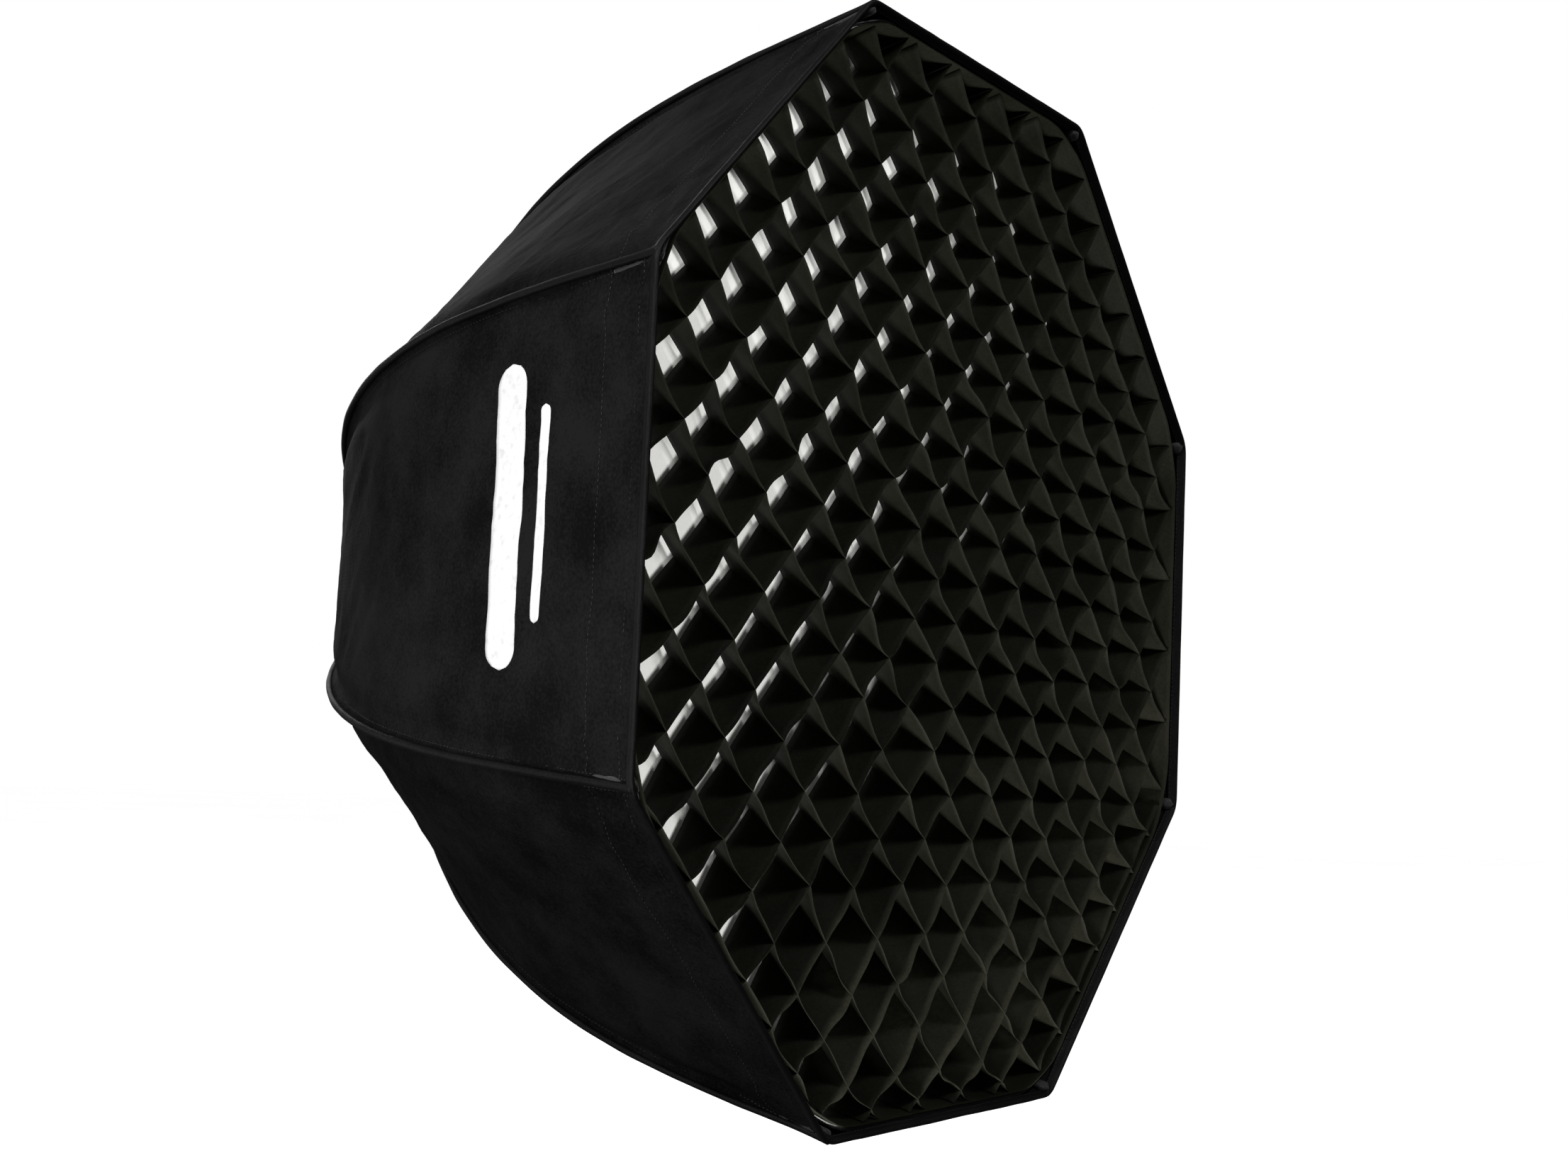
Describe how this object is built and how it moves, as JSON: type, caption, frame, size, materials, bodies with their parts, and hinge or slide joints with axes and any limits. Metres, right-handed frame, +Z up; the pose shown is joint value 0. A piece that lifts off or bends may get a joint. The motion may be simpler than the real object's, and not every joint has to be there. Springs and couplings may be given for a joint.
{
  "type": "octagonal softbox with honeycomb grid",
  "caption": "Octagonal fabric light modifier with a removable honeycomb grid, a front diffuser and an inner baffle, on a turning bayonet speedring.",
  "frame": {"origin": "centre of the bayonet flange's rear face, which bears on the flash", "axes": "+Y backwards out of the bayonet towards the flash, the open face looks along -Y, +X right, +Z up"},
  "size_m": [0.8776, 0.6208, 0.8776],
  "materials": {
    "black_fabric": "woven polyester with a soft sheen",
    "grid_fabric": "thin satin nylon",
    "white_fabric": "translucent white diffusion cloth",
    "loop_tape": "napped loop tape",
    "ring_metal": "satin black",
    "bayonet_steel": "plated",
    "fibreglass": "black glass-fibre rod",
    "black_plastic": "moulded"
  },
  "bodies": {
    "mount": {"bayonet_ring": "bayonet_steel", "retaining_ring": "bayonet_steel", "wear_washer": "black_plastic", "retainer_screw_1": "bayonet_steel", "retainer_screw_2": "bayonet_steel", "retainer_screw_3": "bayonet_steel"},
    "softbox": {"rod_ring": "ring_metal", "rear_collar": "black_fabric", "hem_band": "black_fabric", "loop_tape": "loop_tape", "rod_socket_1": "ring_metal", "rod_socket_2": "ring_metal", "rod_socket_3": "ring_metal", "rod_socket_4": "ring_metal", "rod_socket_5": "ring_metal", "rod_socket_6": "ring_metal", "rod_socket_7": "ring_metal", "rod_socket_8": "ring_metal", "rod_1": "fibreglass", "rod_2": "fibreglass", "rod_3": "fibreglass", "rod_4": "fibreglass", "rod_5": "fibreglass", "rod_6": "fibreglass", "rod_7": "fibreglass", "rod_8": "fibreglass", "rod_cap_1": "black_plastic", "rod_cap_2": "black_plastic", "rod_cap_3": "black_plastic", "rod_cap_4": "black_plastic", "rod_cap_5": "black_plastic", "rod_cap_6": "black_plastic", "rod_cap_7": "black_plastic", "rod_cap_8": "black_plastic", "rod_pocket_1": "black_fabric", "rod_pocket_2": "black_fabric", "rod_pocket_3": "black_fabric", "rod_pocket_4": "black_fabric", "rod_pocket_5": "black_fabric", "rod_pocket_6": "black_fabric", "rod_pocket_7": "black_fabric", "rod_pocket_8": "black_fabric", "shell_panel_1": "black_fabric", "shell_panel_2": "black_fabric", "shell_panel_3": "black_fabric", "shell_panel_4": "black_fabric", "shell_panel_5": "black_fabric", "shell_panel_6": "black_fabric", "shell_panel_7": "black_fabric", "shell_panel_8": "black_fabric"},
    "diffuser": {"front_diffuser": "white_fabric", "diffuser_border": "white_fabric"},
    "grid": {"grid_border": "grid_fabric", "grid_lattice": "grid_fabric"},
    "baffle": {"inner_baffle": "white_fabric"},
    "thumb_screw_1": {"thumb_screw_1": "black_plastic"},
    "thumb_screw_2": {"thumb_screw_2": "black_plastic"},
    "thumb_screw_3": {"thumb_screw_3": "black_plastic"}
  },
  "joints": [
    {"name": "box_turn", "type": "hinge", "parent": "mount", "child": "softbox", "pos_m": [0, 0, 0], "axis": [0, 1, 0], "continuous": true},
    {"name": "thumb_screw_1_turn", "type": "hinge", "parent": "softbox", "child": "thumb_screw_1", "pos_m": [0, -0.0095, 0.08], "axis": [0, 0, 1], "range_deg": [0, 450]},
    {"name": "thumb_screw_2_turn", "type": "hinge", "parent": "softbox", "child": "thumb_screw_2", "pos_m": [-0.06928, -0.0095, -0.04], "axis": [-0.866, 0, -0.5], "range_deg": [0, 450]},
    {"name": "thumb_screw_3_turn", "type": "hinge", "parent": "softbox", "child": "thumb_screw_3", "pos_m": [0.06928, -0.0095, -0.04], "axis": [0.866, 0, -0.5], "range_deg": [0, 450]},
    {"name": "diffuser_pull", "type": "slide", "parent": "softbox", "child": "diffuser", "axis": [0, -1, 0], "range_m": [0, 0.25]},
    {"name": "grid_pull", "type": "slide", "parent": "diffuser", "child": "grid", "axis": [0, -1, 0], "range_m": [0, 0.25]},
    {"name": "baffle_pull", "type": "slide", "parent": "softbox", "child": "baffle", "axis": [0, -1, 0], "range_m": [0, 0.15]}
  ]
}
